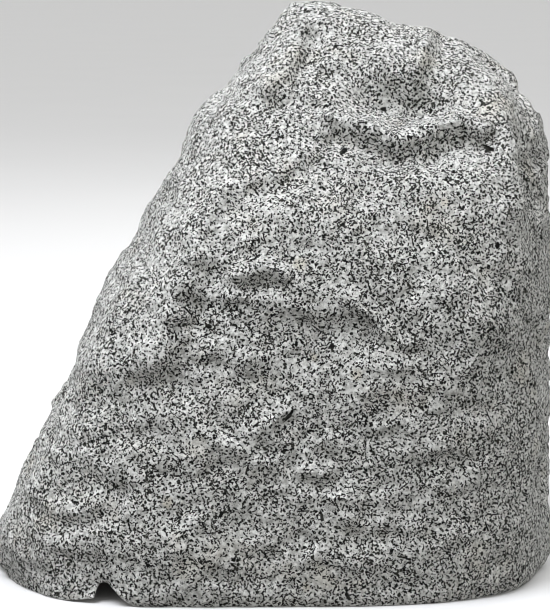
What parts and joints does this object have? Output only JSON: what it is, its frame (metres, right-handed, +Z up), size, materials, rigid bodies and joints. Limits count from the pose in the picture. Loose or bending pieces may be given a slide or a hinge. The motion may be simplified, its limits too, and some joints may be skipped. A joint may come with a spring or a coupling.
{
  "type": "rock shaped garden speaker",
  "caption": "Garden loudspeaker in a hollow moulded boulder shell, with a two-way driver unit behind a round grille, a recessed base plate on feet and a cable notch in the rim.",
  "frame": {"origin": "on the ground, under the middle of the bounding box", "axes": "+Z up; -Y is the plain rock face over the cable notch, seen in the picture; +Y is the side with the grille, which looks 8 degrees upward; +X to the right of the picture"},
  "size_m": [0.3366, 0.2922, 0.3377],
  "materials": {
    "stone_shell": "matte stone-look moulding, light ground with dark flecks",
    "black_plastic": "matte moulded black",
    "black_foam": "soft black foam",
    "grille_steel": "black powder coat",
    "basket_steel": "dark satin paint",
    "black_screws": "black oxide",
    "bright_screws": "zinc plate",
    "rubber": "matte rubber",
    "poly_cone": "satin woven-look cone",
    "former_film": "amber film",
    "copper": "enamelled copper wire",
    "spider_cloth": "resin-stiffened cloth",
    "motor_steel": "zinc plated steel",
    "ferrite": "dark sintered ferrite",
    "tag_board": "brown laminate",
    "neo_magnet": "nickel plate",
    "silk_dome": "coated cloth",
    "block_resin": "cast resin",
    "green_board": "solder mask",
    "nylon": "natural nylon",
    "capacitor_film": "wrapped film",
    "cement": "cast ceramic",
    "terminal_green": "moulded green",
    "red_lead": "insulated wire",
    "black_lead": "insulated wire",
    "wadding": "white polyester fibre"
  },
  "bodies": {
    "cabinet": {"rock_shell": "stone_shell", "baffle_ring": "black_plastic", "baffle_seal": "black_foam", "grille": "grille_steel", "driver_gasket": "black_foam", "woofer_basket": "basket_steel", "driver_screws": "black_screws", "woofer_surround": "rubber", "woofer_spider": "spider_cloth", "woofer_top_plate": "motor_steel", "woofer_magnet": "ferrite", "woofer_yoke": "motor_steel", "woofer_terminals": "tag_board", "tweeter_bridge": "black_plastic", "bridge_screws": "black_screws", "tweeter_housing": "black_plastic", "tweeter_yoke": "motor_steel", "tweeter_magnet": "neo_magnet", "tweeter_pole_plate": "motor_steel", "tweeter_surround": "silk_dome", "tweeter_faceplate": "black_plastic", "base_plate": "black_plastic", "mounting_blocks": "block_resin", "base_screws": "bright_screws", "rubber_feet": "rubber", "foot_screws": "bright_screws", "cable_grommet": "rubber", "crossover_board": "green_board", "board_standoffs": "nylon", "board_screws": "bright_screws", "coil_bobbins": "nylon", "coil_windings": "copper", "capacitors": "capacitor_film", "resistor": "cement", "terminal_block": "terminal_green", "terminal_screws": "bright_screws", "woofer_leads": "red_lead", "tweeter_leads": "black_lead", "damping_wadding": "wadding"},
    "woofer_diaphragm": {"woofer_cone": "poly_cone", "dust_cap": "poly_cone", "voice_coil_former": "former_film", "voice_coil_winding": "copper"},
    "tweeter_diaphragm": {"tweeter_dome": "silk_dome", "tweeter_coil": "copper"}
  },
  "joints": [
    {"name": "woofer_travel", "type": "slide", "parent": "cabinet", "child": "woofer_diaphragm", "axis": [0, 0.9903, 0.1392], "range_m": [-0.0035, 0.0035], "stiffness_N_per_m": 1300, "deforming": ["woofer_surround", "woofer_spider"]},
    {"name": "tweeter_travel", "type": "slide", "parent": "cabinet", "child": "tweeter_diaphragm", "axis": [0, 0.9903, 0.1392], "range_m": [-0.0003, 0.0003], "stiffness_N_per_m": 1500, "deforming": ["tweeter_surround"]}
  ]
}
